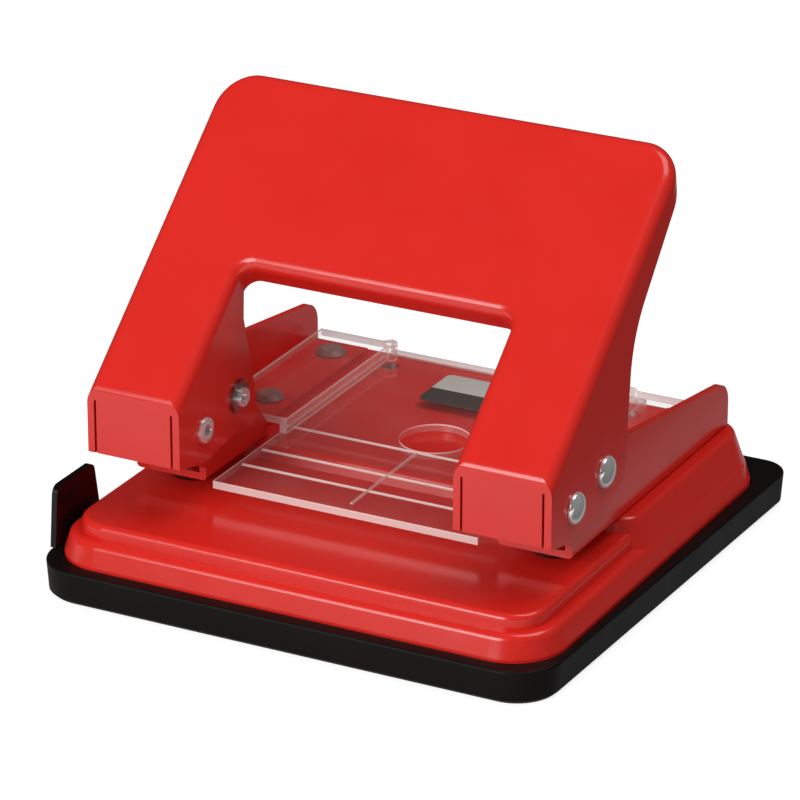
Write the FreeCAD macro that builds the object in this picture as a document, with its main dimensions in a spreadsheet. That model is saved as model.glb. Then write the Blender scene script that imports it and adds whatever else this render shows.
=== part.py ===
import FreeCAD, Part
import math
import os
from types import SimpleNamespace

import Sketcher
from FreeCAD import Rotation, Vector

# Two-hole paper punch. Frame: X runs along the two punches, Y from the paper side (-Y) to the
# rear, Z up. The origin is midway between the two punches, on the plane that the tray rests on.
# All lengths are in millimetres and all angles in degrees.

DRIVING_SIZES = {
    # paper standard: 80 mm between the holes, 6 mm holes, about 12 mm from the sheet's edge
    "hole_spacing": 80.0,
    "hole_width": 6.0,
    "stop_distance": 13.0,
    "running_fit": 0.05,
    "gap": 0.3,
    "cut_margin": 1.0,
    # pressed base: skirt, rounded shoulder, deck panel and raised platform
    "base_sheet": 1.2,
    "base_margin": 14.0,
    "base_front": 35.0,
    "base_back": 71.0,
    "base_corner": 11.0,
    "skirt_foot": 3.0,
    "skirt_bend": 7.5,
    "skirt_lean": 1.4,
    "shoulder_height": 12.0,
    "shoulder_width": 2.2,
    "shoulder_round": 1.6,
    "deck_height": 15.0,
    "platform_rise": 3.0,
    "panel_round": 1.3,
    "platform_corner": 7.0,
    # moulded tray
    "tray_height": 7.0,
    "tray_wall": 1.1,
    "tray_floor": 1.6,
    "tray_corner": 9.5,
    "tray_back_corner": 6.0,
    "tray_flare": 2.4,
    "tray_front_lip": 1.9,
    "tray_back_lip": 3.4,
    "tray_draft": 0.5,
    "tray_ledge": 2.5,
    "tray_foot_bevel": 0.8,
    "tray_rim_round": 0.5,
    # folded brackets
    "bracket_half": 7.9,
    "bracket_sheet": 1.5,
    "bracket_bend": 2.4,
    "bend_land": 0.4,
    "bracket_floor_front": 6.2,
    "bracket_nose": 19.3,
    "bracket_back": 64.0,
    "nose_low": 26.0,
    "nose_round": 6.5,
    "wall_over_pivot": 8.4,
    "wall_top_back": 27.9,
    "wall_back_round": 5.0,
    "inner_wall_peak": 4.5,
    "inner_wall_back": 16.3,
    # bracket rivets
    "rivet_first": 31.0,
    "rivet_second": 58.0,
    "rivet_shank": 3.2,
    "rivet_head": 6.4,
    "rivet_dome": 1.3,
    "rivet_clench": 5.1,
    # lever hinge and punch drive
    "pivot_back": -13.1,
    "pivot_height": 31.0,
    "drive_arm": 13.5,
    "rest_angle": 9.8,
    "swing": 29.8,
    "pin_width": 4.0,
    "pin_head": 6.4,
    "pin_dome": 1.7,
    "pin_bore": 2.4,
    "pin_bore_depth": 3.0,
    "clench_width": 5.2,
    "clench_rise": 0.7,
    "sleeve_width": 7.0,
    "clip_thick": 0.7,
    "clip_outer": 6.8,
    "clip_bore": 3.0,
    "clip_mouth": 2.6,
    "pin_tail": 0.9,
    "drive_wander": 0.42,
    # lever
    "lever_sheet": 1.5,
    "lever_side_gap": 0.9,
    "lever_bend": 2.5,
    "lever_corner": 8.0,
    "foot_front": 23.2,
    "foot_low": 26.3,
    "foot_high": 40.0,
    "top_back": 35.1,
    "top_height": 90.0,
    "end_lean": 1.0,
    "end_drop": 5.6,
    "waist_back": 11.8,
    "waist_height": 56.8,
    "waist_round": 24.0,
    "heel_back": 8.9,
    "heel_low": 27.2,
    "heel_round": 6.0,
    "sole_front": 14.0,
    "sole_low": 24.2,
    "sole_round": 8.0,
    "window_length": 32.3,
    "window_round": 3.0,
    "lip_depth": 6.1,
    "inner_heel_back": 7.3,
    "inner_waist_drop": 6.8,
    "inner_waist_depth": 10.2,
    "seam": 0.5,
    # clear guide
    "guide_sheet": 1.6,
    "guide_lift": 0.1,
    "guide_half": 29.1,
    "guide_front": 11.4,
    "guide_back": 65.6,
    "wing_clear": 2.2,
    "wing_lap": 0.5,
    "wing_back": 61.4,
    "wing_rise": 5.1,
    "thumb_back": 27.6,
    "thumb_width": 14.6,
    "scribe": 0.5,
    "scribe_depth": 0.3,
    "scribe_inset": 1.0,
    "scribe_first": -1.4,
    "scribe_second": 6.8,
    "scribe_third": 19.7,
    "centre_front": -8.2,
    "peg_width": 3.2,
    "peg_back": 60.6,
    "peg_rise": 0.3,
    # label
    "label_half": 12.5,
    "label_front": 44.0,
    "label_back": 58.3,
    "label_sheet": 0.2,
    "label_round": 1.5,
    # punches, springs and dies
    "punch_head": 10.0,
    "punch_tip_lift": 0.2,
    "punch_head_drop": 1.0,
    "punch_head_rise": 6.2,
    "punch_notch": 1.0,
    "punch_bevel": 0.6,
    "spring_wire": 0.7,
    "spring_outer": 8.6,
    "spring_turns": 3.5,
    "die_width": 9.0,
    "die_flange": 12.0,
    "die_depth": 4.0,
    "die_land": 1.5,
    "die_relief": 0.75,
    # side gauge
    "bar_width": 10.0,
    "bar_thick": 2.0,
    "bar_back": -14.0,
    "bar_end_clear": 3.5,
    "bar_mark": 0.6,
    "mark_a6": 19.0,
    "mark_a5": 50.0,
    "mark_b5": 70.0,
    "stop_front": -29.9,
    "stop_front_slant": 1.2,
    "stop_back": -12.3,
    "stop_back_slant": 2.4,
    "stop_thick": 1.2,
    "stop_top": 19.9,
    "stop_round": 2.0,
    "strap_sheet": 1.0,
    "strap_length": 30.0,
    "strap_start": 5.5,
    "strap_foot": 4.0,
}


class Size:
    # A number and the spreadsheet expression that it comes from.
    def __init__(self, text, number):
        self.text = text
        self.number = number

    def joined(self, other, sign, number):
        return Size(f"({self.text} {sign} {other.text})", number)

    def __add__(self, other):
        other = sized(other)
        return self.joined(other, "+", self.number + other.number)

    def __sub__(self, other):
        other = sized(other)
        return self.joined(other, "-", self.number - other.number)

    def __mul__(self, other):
        other = sized(other)
        return self.joined(other, "*", self.number * other.number)

    def __truediv__(self, other):
        other = sized(other)
        return self.joined(other, "/", self.number / other.number)

    def __neg__(self):
        return sized(0) - self

    __radd__ = __add__
    __rmul__ = __mul__

    def __rsub__(self, other):
        return sized(other) - self


def sized(value):
    return value if isinstance(value, Size) else Size(repr(float(value)), float(value))


def sine(angle):
    return Size(f"sin({angle.text} * 1 deg)", math.sin(math.radians(angle.number)))


def cosine(angle):
    return Size(f"cos({angle.text} * 1 deg)", math.cos(math.radians(angle.number)))


doc = FreeCAD.newDocument("PaperPunch")
sheet = doc.addObject("Spreadsheet::Sheet", "Sizes")
for row, (alias, number) in enumerate(DRIVING_SIZES.items(), start=1):
    sheet.set(f"A{row}", alias)
    sheet.set(f"B{row}", str(number))
    sheet.setAlias(f"B{row}", alias)
doc.recompute()
size = SimpleNamespace(**{alias: Size(f"Sizes.{alias}", float(sheet.get(alias)))
                          for alias in DRIVING_SIZES})

# Heights and places that several pieces share.
deck = size.deck_height
platform = size.deck_height + size.platform_rise
punch_x = size.hole_spacing / 2
base_half = punch_x + size.base_margin
wing_half = punch_x + size.bracket_half - size.bracket_sheet - size.wing_clear
floor_top = platform + size.bracket_sheet
wall_top_front = size.pivot_height + size.wall_over_pivot
punch_tip = platform + size.punch_tip_lift
punch_head_low = size.pivot_height - size.punch_head_drop
punch_head_high = size.pivot_height + size.punch_head_rise
drive_back = size.pivot_back + size.drive_arm * cosine(size.rest_angle)
drive_height = size.pivot_height + size.drive_arm * sine(size.rest_angle)
lever_half = punch_x + size.bracket_half + size.lever_side_gap + size.lever_sheet
leg_inner = punch_x - size.bracket_half - size.lever_side_gap - size.lever_sheet
guide_low = platform + size.guide_lift
wing_front = size.inner_wall_back - size.wing_lap
wing_height = platform + size.wing_rise
panel_inset = size.skirt_lean + size.shoulder_width
peg_x = size.guide_half - size.peg_width / 2
bar_low = size.tray_height + size.gap
bar_front = size.bar_back - size.bar_width
bar_end = base_half - size.bar_end_clear
skirt_room = base_half + size.gap

# Shares of a rivet head's rise that its two bevels take, and the least tilt of the lever's plate.
dome_bevel = 0.75
crown_bevel = 0.35
plate_tilt = 0.2
# Sides of the spring wire's section.
wire_sides = 6


# ---- sketch and feature helpers -------------------------------------------------------------

def new_body(label):
    body = doc.addObject("PartDesign::Body", label)
    body.Label = label
    return body


def new_sketch(body, plane, name, offset=None):
    sketch = body.newObject("Sketcher::SketchObject", name)
    support = next(item for item in body.Origin.OriginFeatures if item.Role == plane)
    sketch.AttachmentSupport = (support, [""])
    sketch.MapMode = "FlatFace"
    if offset is not None:
        offset = sized(offset)
        sketch.AttachmentOffset.Base = Vector(0, 0, offset.number)
        sketch.setExpression("AttachmentOffset.Base.z", offset.text)
    return sketch


def dimension(sketch, kind, targets, value):
    value = sized(value)
    index = sketch.addConstraint(Sketcher.Constraint(kind, *targets, value.number))
    sketch.setExpression(f"Constraints[{index}]", value.text)


def place_point(sketch, geometry, spot, across, up):
    for kind, value, axis in (("DistanceX", sized(across), -2), ("DistanceY", sized(up), -1)):
        if value.number == 0:
            sketch.addConstraint(Sketcher.Constraint("PointOnObject", geometry, spot, axis))
        else:
            dimension(sketch, kind, (-1, 1, geometry, spot), value)


def arc_between(start, end, centre, leftward):
    # Returns the arc and the numbers of its ends, in the direction of travel.
    radius = (start - centre).Length
    first, last = (start, end) if leftward else (end, start)
    angles = [math.atan2(point.y - centre.y, point.x - centre.x) for point in (first, last)]
    if angles[1] < angles[0]:
        angles[1] += 2 * math.pi
    arc = Part.ArcOfCircle(Part.Circle(centre, Vector(0, 0, 1), radius), *angles)
    return arc, (1, 2) if leftward else (2, 1)


def outline(sketch, corners, curves=None):
    # Closed outline. A corner is (across, up) or (across, up, radius). curves gives the signed
    # radius of a run that is an arc, by the number of the corner that it starts from.
    curves = curves or {}
    count = len(corners)
    points = [Vector(sized(corner[0]).number, sized(corner[1]).number, 0) for corner in corners]
    entry, leave, centres = list(points), list(points), {}
    for i, corner in enumerate(corners):
        if len(corner) < 3:
            continue
        back = (points[i - 1] - points[i]).normalize()
        ahead = (points[(i + 1) % count] - points[i]).normalize()
        half = back.getAngle(ahead) / 2
        radius = sized(corner[2]).number
        entry[i] = points[i] + back * (radius / math.tan(half))
        leave[i] = points[i] + ahead * (radius / math.tan(half))
        centres[i] = points[i] + (back + ahead).normalize() * (radius / math.sin(half))
    runs = []
    for i in range(count):
        start, end = leave[i], entry[(i + 1) % count]
        if i in curves:
            bend = sized(curves[i])
            along = end - start
            side = Vector(-along.y, along.x, 0).normalize() * math.copysign(1, bend.number)
            reach = math.sqrt(bend.number ** 2 - (along.Length / 2) ** 2)
            arc, ends = arc_between(start, end, (start + end) * 0.5 + side * reach, bend.number > 0)
            index = sketch.addGeometry(arc, False)
            dimension(sketch, "Radius", (index,), bend if bend.number > 0 else -bend)
            runs.append((index, ends))
        else:
            index = sketch.addGeometry(Part.LineSegment(start, end), False)
            runs.append((index, (1, 2)))
    for i, corner in enumerate(corners):
        before, after = runs[i - 1], runs[i]
        if i not in centres:
            sketch.addConstraint(Sketcher.Constraint(
                "Coincident", before[0], before[1][1], after[0], after[1][0]))
            place_point(sketch, after[0], after[1][0], corner[0], corner[1])
            continue
        turn = (points[i] - points[i - 1]).cross(points[(i + 1) % count] - points[i]).z
        arc, ends = arc_between(entry[i], leave[i], centres[i], turn > 0)
        bend = sketch.addGeometry(arc, False)
        mark = sketch.addGeometry(Part.Point(points[i]), True)
        place_point(sketch, mark, 1, corner[0], corner[1])
        sketch.addConstraint(Sketcher.Constraint("PointOnObject", mark, 1, before[0]))
        sketch.addConstraint(Sketcher.Constraint("PointOnObject", mark, 1, after[0]))
        sketch.addConstraint(Sketcher.Constraint(
            "Tangent", before[0], before[1][1], bend, ends[0]))
        sketch.addConstraint(Sketcher.Constraint(
            "Tangent", bend, ends[1], after[0], after[1][0]))
        dimension(sketch, "Radius", (bend,), corner[2])


def rectangle(sketch, left, right, low, high, radius=None):
    tail = () if radius is None else (radius,)
    outline(sketch, [(left, low, *tail), (right, low, *tail), (right, high, *tail),
                     (left, high, *tail)])


def circle(sketch, across, up, radius):
    centre = Vector(sized(across).number, sized(up).number, 0)
    index = sketch.addGeometry(Part.Circle(centre, Vector(0, 0, 1), sized(radius).number), False)
    place_point(sketch, index, 3, across, up)
    dimension(sketch, "Radius", (index,), radius)


def pad(body, sketch, length, both=False, back=False, lean=None, name="Pad"):
    feature = body.newObject("PartDesign::Pad", name)
    feature.Profile = sketch
    feature.Length = sized(length).number
    feature.setExpression("Length", sized(length).text)
    feature.SideType = "Symmetric" if both else "One side"
    feature.Reversed = back
    if lean is not None:
        feature.TaperAngle = lean.number
        feature.setExpression("TaperAngle", lean.text)
    return feature


def pocket(body, sketch, length=None, both=False, back=False, name="Pocket"):
    doc.recompute()
    before = body.Shape.Volume
    feature = body.newObject("PartDesign::Pocket", name)
    feature.Profile = sketch
    if length is None:
        feature.Type = "ThroughAll"
    else:
        feature.Type = "Length"
        feature.Length = sized(length).number
        feature.setExpression("Length", sized(length).text)
    feature.SideType = "Symmetric" if both else "One side"
    feature.Reversed = back
    doc.recompute()
    if body.Shape.Volume >= before - 1e-6:
        raise RuntimeError(f"{body.Label}: {name} cuts nothing")
    return feature


def round_edges(body, radius, wanted, name="Round"):
    doc.recompute()
    base = body.Tip
    picked = [f"Edge{i}" for i, edge in enumerate(base.Shape.Edges, start=1) if wanted(edge)]
    if not picked:
        raise RuntimeError(f"{body.Label}: {name} finds no edge")
    feature = body.newObject("PartDesign::Fillet", name)
    feature.Base = (base, picked)
    feature.Radius = sized(radius).number
    feature.setExpression("Radius", sized(radius).text)
    return feature


def bevel_edges(body, width, wanted, name="Bevel"):
    doc.recompute()
    base = body.Tip
    picked = [f"Edge{i}" for i, edge in enumerate(base.Shape.Edges, start=1) if wanted(edge)]
    if not picked:
        raise RuntimeError(f"{body.Label}: {name} finds no edge")
    feature = body.newObject("PartDesign::Chamfer", name)
    feature.Base = (base, picked)
    feature.Size = sized(width).number
    feature.setExpression("Size", sized(width).text)
    return feature


def near(first, second):
    return abs(sized(first).number - sized(second).number) < 1e-3


def marks(edge):
    # Three points on an edge: its two ends and its middle.
    first, last = edge.ParameterRange
    return [edge.valueAt(first), edge.valueAt((first + last) / 2), edge.valueAt(last)]


def level(edge, height):
    # True for an edge that lies wholly at one height.
    return all(near(point.z, height) for point in marks(edge))


def upright(edge, across):
    # True for an edge that lies wholly in one plane of constant X.
    return all(near(point.x, across) for point in marks(edge))


# ---- base -----------------------------------------------------------------------------------

def base_outline(body, name, height, inset, front=None):
    # The base's plan outline, moved inwards, on a level plane; front moves its front edge.
    sketch = new_sketch(body, "XY_Plane", name, height)
    start = inset - size.base_front if front is None else front
    rectangle(sketch, inset - base_half, base_half - inset,
              start, size.base_back - inset, size.base_corner - inset)
    return sketch


def platform_outline(body, name, height, inset):
    # The raised platform: smaller front corners and the skirt's own corners at the rear.
    sketch = new_sketch(body, "XY_Plane", name, height)
    left = inset - base_half
    right = base_half - inset
    front = size.stop_distance + inset - panel_inset
    back = size.base_back - inset
    outline(sketch, [(left, front, size.platform_corner - inset),
                     (right, front, size.platform_corner - inset),
                     (right, back, size.base_corner - inset),
                     (left, back, size.base_corner - inset)])
    return sketch


def slope(inwards, rise):
    # Taper angle of a pad that draws in by a distance over its height.
    return Size(f"(-atan({inwards.text} / {rise.text}))",
                -math.degrees(math.atan2(inwards.number, rise.number)))


def build_base_plate():
    body = new_body("base_plate")
    foot = base_outline(body, "SkirtOutline", size.skirt_foot, sized(0))
    pad(body, foot, size.skirt_bend - size.skirt_foot, name="Skirt")
    rise = size.shoulder_height - size.skirt_bend
    bend = base_outline(body, "LeanOutline", size.skirt_bend, sized(0))
    pad(body, bend, rise, lean=slope(size.skirt_lean, rise), name="Lean")
    round_edges(body, size.shoulder_round,
                lambda edge: level(edge, size.shoulder_height), "ShoulderRound")
    panel = base_outline(body, "PanelOutline", size.skirt_bend, panel_inset)
    pad(body, panel, deck - size.skirt_bend, name="Panel")
    round_edges(body, size.panel_round, lambda edge: level(edge, deck), "PanelRound")
    # The platform's sides run in one slope from the skirt's bend, so the shoulder ends there.
    rise = platform - size.skirt_bend
    step = platform_outline(body, "PlatformOutline", size.skirt_bend, sized(0))
    pad(body, step, rise, lean=slope(panel_inset, rise), name="Platform")
    round_edges(body, size.panel_round, lambda edge: level(edge, platform), "PlatformRound")
    wall = size.base_sheet
    hollow = base_outline(body, "HollowSkirt", size.skirt_foot, wall)
    pocket(body, hollow, size.skirt_bend - size.skirt_foot, back=True, name="SkirtHollow")
    hollow = base_outline(body, "HollowShoulder", size.skirt_bend, wall + size.skirt_lean)
    pocket(body, hollow, size.shoulder_height - size.skirt_bend - wall, back=True,
           name="ShoulderHollow")
    hollow = base_outline(body, "HollowPanel", size.shoulder_height - wall, panel_inset + wall)
    pocket(body, hollow, deck - size.shoulder_height, back=True, name="PanelHollow")
    hollow = platform_outline(body, "HollowPlatform", deck - wall, panel_inset + wall)
    pocket(body, hollow, size.platform_rise, back=True, name="PlatformHollow")
    cut_base_holes(body)
    return body


def cut_base_holes(body):
    dies = new_sketch(body, "XY_Plane", "DieHoles", size.skirt_foot)
    for side in (-1, 1):
        circle(dies, side * punch_x, 0, size.die_width / 2 + size.running_fit)
    pocket(body, dies, back=True, name="DieHole")
    rivets = new_sketch(body, "XY_Plane", "RivetHoles", size.skirt_foot)
    for side in (-1, 1):
        for place in (size.rivet_first, size.rivet_second):
            circle(rivets, side * punch_x, place, size.rivet_shank / 2 + size.running_fit)
    pocket(body, rivets, back=True, name="RivetHole")
    pegs = new_sketch(body, "XY_Plane", "PegHoles", size.skirt_foot)
    for side in (-1, 1):
        circle(pegs, side * peg_x, size.peg_back, size.peg_width / 2 + size.gap)
    pocket(body, pegs, back=True, name="PegHole")
    notch = new_sketch(body, "YZ_Plane", "GaugeNotch", size.base_corner - base_half)
    rectangle(notch, bar_front - size.gap, size.bar_back + size.gap, size.skirt_foot - size.cut_margin,
              bar_low + size.bar_thick + size.gap)
    pocket(body, notch, size.base_corner + size.cut_margin, name="GaugeSlot")


def tray_outline(body, name, height):
    # The tray's rim in plan: wider at the rear than at the front.
    sketch = new_sketch(body, "XY_Plane", name, height)
    front_half = skirt_room + size.tray_wall
    back_half = front_half + size.tray_flare
    front = -(size.base_front + size.gap + size.tray_wall + size.tray_front_lip)
    back = size.base_back + size.gap + size.tray_wall + size.tray_back_lip
    outline(sketch, [(-front_half, front, size.tray_corner), (front_half, front, size.tray_corner),
                     (back_half, back, size.tray_back_corner),
                     (-back_half, back, size.tray_back_corner)])
    return sketch


def build_chip_tray():
    body = new_body("chip_tray")
    rim = tray_outline(body, "RimOutline", size.tray_height)
    pad(body, rim, size.tray_height, back=True, lean=slope(size.tray_draft, size.tray_height),
        name="Shell")
    bevel_edges(body, size.tray_foot_bevel, lambda edge: level(edge, 0), "FootBevel")
    round_edges(body, size.tray_rim_round,
                lambda edge: level(edge, size.tray_height), "RimRound")
    room = base_outline(body, "SkirtRoom", size.tray_height, -size.gap)
    pocket(body, room, size.tray_height - size.skirt_foot, name="SkirtSeat")
    bowl = base_outline(body, "BowlOutline", size.skirt_foot, size.tray_ledge)
    pocket(body, bowl, size.skirt_foot - size.tray_floor, name="Bowl")
    return body


# ---- brackets -------------------------------------------------------------------------------

def wall_top(place):
    # Height of a bracket wall's straight top edge at a distance along Y.
    drop = wall_top_front - size.wall_top_back
    run = size.bracket_back + size.bracket_nose
    return wall_top_front - drop * (place + size.bracket_nose) / run


def bracket_wall(body, side, outer):
    # One upright wall, from the top of its bend to its shaped upper edge.
    face = punch_x + size.bracket_half if outer else punch_x - size.bracket_half
    inside = face - size.bracket_sheet if outer else face
    start = inside if side > 0 else -inside - size.bracket_sheet
    foot = platform + size.bracket_bend + size.bend_land
    sketch = new_sketch(body, "YZ_Plane", "OuterWall" if outer else "InnerWall", start)
    corners = [(-size.bracket_floor_front, foot)]
    if outer:
        corners.append((size.bracket_back, foot))
        corners.append((size.bracket_back, size.wall_top_back, size.wall_back_round))
    else:
        corners.append((size.inner_wall_back, foot))
        corners.append((size.inner_wall_peak, wall_top(size.inner_wall_peak),
                        size.wall_back_round))
    corners.append((-size.bracket_nose, wall_top_front, size.nose_round))
    corners.append((-size.bracket_nose, size.nose_low, size.bracket_bend))
    outline(sketch, corners)
    pad(body, sketch, size.bracket_sheet, name="OuterPlate" if outer else "InnerPlate")


def build_bracket(label, side):
    body = new_body(label)
    middle = side * punch_x
    left = middle - size.bracket_half
    right = middle + size.bracket_half
    wall = size.bracket_sheet
    bend = size.bracket_bend
    land = platform + bend + size.bend_land
    channel = new_sketch(body, "XZ_Plane", "ChannelOutline", size.bracket_floor_front)
    outline(channel, [(left, platform, bend), (right, platform, bend), (right, land),
                      (right - wall, land), (right - wall, floor_top, bend - wall),
                      (left + wall, floor_top, bend - wall), (left + wall, land), (left, land)])
    pad(body, channel, size.bracket_floor_front + size.bracket_back, back=True, name="Channel")
    bracket_wall(body, side, True)
    bracket_wall(body, side, False)
    # Behind the short inner wall the floor ends at the bend line.
    edge = left if side > 0 else right
    trim = new_sketch(body, "XY_Plane", "InnerEdgeTrim", platform - size.cut_margin)
    rectangle(trim, edge - bend, edge + bend, size.inner_wall_back,
              size.bracket_back + size.cut_margin)
    pocket(body, trim, bend + 2 * size.cut_margin, back=True, name="InnerEdge")
    start = left - size.gap
    bores = new_sketch(body, "YZ_Plane", "PivotBore", start)
    circle(bores, size.pivot_back, size.pivot_height, size.pin_width / 2 + size.running_fit)
    pocket(body, bores, 2 * (size.bracket_half + size.gap), back=True, name="PivotHole")
    cut_drive_slot(body, start)
    holes = new_sketch(body, "XY_Plane", "FloorHoles", platform - size.cut_margin)
    circle(holes, middle, 0, size.hole_width / 2 + size.running_fit)
    for place in (size.rivet_first, size.rivet_second):
        circle(holes, middle, place, size.rivet_shank / 2 + size.running_fit)
    pocket(body, holes, size.bracket_sheet + 2 * size.cut_margin, back=True, name="FloorHole")
    return body


def cut_drive_slot(body, start):
    # Curved slot for the drive pin, centred on the lever's pivot.
    sketch = new_sketch(body, "YZ_Plane", "DriveSlotOutline", start)
    half = size.pin_width / 2 + size.gap
    pivot = Vector(size.pivot_back.number, size.pivot_height.number, 0)
    ends = []
    for angle in (size.rest_angle, size.rest_angle - size.swing):
        ends.append((size.pivot_back + size.drive_arm * cosine(angle),
                     size.pivot_height + size.drive_arm * sine(angle)))
    arcs = []
    low = math.radians(size.rest_angle.number - size.swing.number)
    high = math.radians(size.rest_angle.number)
    axis = Vector(0, 0, 1)
    for reach in (size.drive_arm + half, size.drive_arm - half):
        round_track = Part.Circle(pivot, axis, reach.number)
        arcs.append(sketch.addGeometry(Part.ArcOfCircle(round_track, low, high), False))
    for end, first in ((ends[0], high), (ends[1], low + math.pi)):
        spot = Vector(end[0].number, end[1].number, 0)
        cap = Part.ArcOfCircle(Part.Circle(spot, axis, half.number), first, first + math.pi)
        arcs.append(sketch.addGeometry(cap, False))
    outside, inside, top, bottom = arcs
    place_point(sketch, outside, 3, size.pivot_back, size.pivot_height)
    sketch.addConstraint(Sketcher.Constraint("Coincident", outside, 3, inside, 3))
    place_point(sketch, top, 3, *ends[0])
    dimension(sketch, "DistanceY", (-1, 1, bottom, 3), ends[1][1])
    for first, second in (((outside, 2), (top, 1)), ((top, 2), (inside, 2)),
                          ((inside, 1), (bottom, 1)), ((bottom, 2), (outside, 1))):
        sketch.addConstraint(Sketcher.Constraint("Tangent", *first, *second))
    dimension(sketch, "Radius", (top,), half)
    pocket(body, sketch, 2 * (size.bracket_half + size.gap), back=True, name="DriveSlot")


def build_bracket_rivets():
    body = new_body("bracket_rivets")
    body.AllowCompound = True

    def rings(name, height, radius):
        sketch = new_sketch(body, "XY_Plane", name, height)
        for side in (-1, 1):
            for place in (size.rivet_first, size.rivet_second):
                circle(sketch, side * punch_x, place, radius)
        return sketch

    pad(body, rings("HeadOutline", floor_top, size.rivet_head / 2), size.rivet_dome, name="Heads")
    bevel_edges(body, size.rivet_dome * dome_bevel,
                lambda edge: level(edge, floor_top + size.rivet_dome), "Crown")
    under = platform - size.base_sheet
    pad(body, rings("ShankOutline", under, size.rivet_shank / 2), floor_top - under,
        name="Shanks")
    pad(body, rings("ClenchOutline", under, size.rivet_clench / 2), size.rivet_dome / 2,
        back=True, name="Clench")
    return body


# ---- lever ----------------------------------------------------------------------------------

def plate_point(along, deep):
    # A point in the side view, by distance along the lever's plate from the foot bend and depth
    # below the straight line between the plate's two ends.
    run = size.top_back + size.foot_front
    rise = size.top_height - size.foot_high
    length = Size(f"sqrt({run.text} * {run.text} + {rise.text} * {rise.text})",
                  math.hypot(run.number, rise.number))
    across = along * run / length + deep * rise / length
    up = along * rise / length - deep * run / length
    return across - size.foot_front, up + size.foot_high


def inset_corner(before, corner, after, inset):
    # Where two straight runs of an anticlockwise outline meet once both have moved inwards.
    first, second = heading(before, corner), heading(corner, after)
    turn = first[0] * second[1] - first[1] * second[0]
    return tuple(sized(corner[i]) + inset * (second[i] - first[i]) / turn for i in (0, 1))


def heading(start, end):
    run = sized(end[0]) - start[0]
    rise = sized(end[1]) - start[1]
    length = Size(f"sqrt({run.text} * {run.text} + {rise.text} * {rise.text})",
                  math.hypot(run.number, rise.number))
    return run / length, rise / length


def lever_form(body, inset):
    # A solid of the lever's outside form, or of its inside when inset by the sheet. The inside
    # form runs on past the rear edge and the underside, which stay open.
    foot_low = (-size.foot_front, size.foot_low)
    foot = (-size.foot_front, size.foot_high)
    top = (size.top_back, size.top_height)
    end = (size.top_back + size.end_lean, size.top_height - size.end_drop)
    side = new_sketch(body, "YZ_Plane", "SideOutline")
    if inset.number == 0:
        corners = [foot_low, (-size.sole_front, size.sole_low, size.sole_round),
                   (size.heel_back, size.heel_low, size.heel_round),
                   (size.waist_back, size.waist_height, size.waist_round), end, top, foot]
    else:
        inner_top = inset_corner(end, top, foot, inset)
        deep = (inner_top[0] + 2 * (end[0] - top[0]), inner_top[1] + 2 * (end[1] - top[1]))
        corners = [(inset - size.foot_front, 0), (size.base_back, 0), (size.base_back, deep[1]),
                   deep, inner_top, inset_corner(top, foot, foot_low, inset)]
    outline(side, corners)
    pad(body, side, 2 * (lever_half - inset), both=True, name="Form")
    window = new_sketch(body, "YZ_Plane", "WindowOutline")
    lip_deep = plate_point(size.window_length + inset, size.foot_high + size.foot_front)
    lip_above = plate_point(size.window_length + inset, -size.foot_front)
    clear = 2 * size.foot_front
    outline(window, [(-clear, -size.foot_front), (lip_deep[0], -size.foot_front), lip_deep,
                     lip_above, (-clear, lip_above[1])])
    pocket(body, window, 2 * (leg_inner + inset), both=True, name="Window")
    round_lever_form(body, inset)


def plate_face(shape):
    # The lever's large sloping plate.
    faces = [face for face in shape.Faces if isinstance(face.Surface, Part.Plane)
             and face.normalAt(0, 0).y < -plate_tilt and face.normalAt(0, 0).z > plate_tilt]
    return max(faces, key=lambda face: face.Area)


def round_lever_form(body, inset):
    # Top corners, window corners and then the bends all round the plate.
    doc.recompute()
    plate = plate_face(body.Tip.Shape)
    rim = [point for edge in plate.Edges for point in marks(edge)]
    halves = (lever_half - inset, leg_inner + inset)

    def corner(edge, half):
        # An edge across the sheet that starts from a corner of the plate.
        if not any(upright(edge, side * half) for side in (-1, 1)):
            return False
        if near(edge.valueAt(edge.ParameterRange[0]).y, -size.foot_front + inset):
            return False
        ends = [marks(edge)[0], marks(edge)[2]]
        touching = [point for point in ends
                    if any((point - other).Length < 1e-3 for other in rim)]
        return len(touching) == 1 and touching[0].z > size.foot_high.number

    round_edges(body, size.lever_corner - inset,
                lambda edge: corner(edge, halves[0]), "EndCorners")
    round_edges(body, size.window_round + inset,
                lambda edge: corner(edge, halves[1]), "WindowCorners")
    doc.recompute()
    rim_edges = plate_face(body.Tip.Shape).Edges
    round_edges(body, size.lever_bend - inset,
                lambda edge: any(edge.isSame(other) for other in rim_edges), "PlateBends")


def build_lever():
    # Folded sheet: the outside form less the inside form, then trimmed and drilled.
    inside = new_body("lever_inside")
    lever_form(inside, size.lever_sheet)
    body = new_body("lever")
    lever_form(body, sized(0))
    doc.recompute()
    hollow = body.newObject("PartDesign::Boolean", "Hollow")
    hollow.Type = "Cut"
    hollow.setObjects([inside])
    doc.recompute()
    trim_lever(body)
    return body


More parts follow.
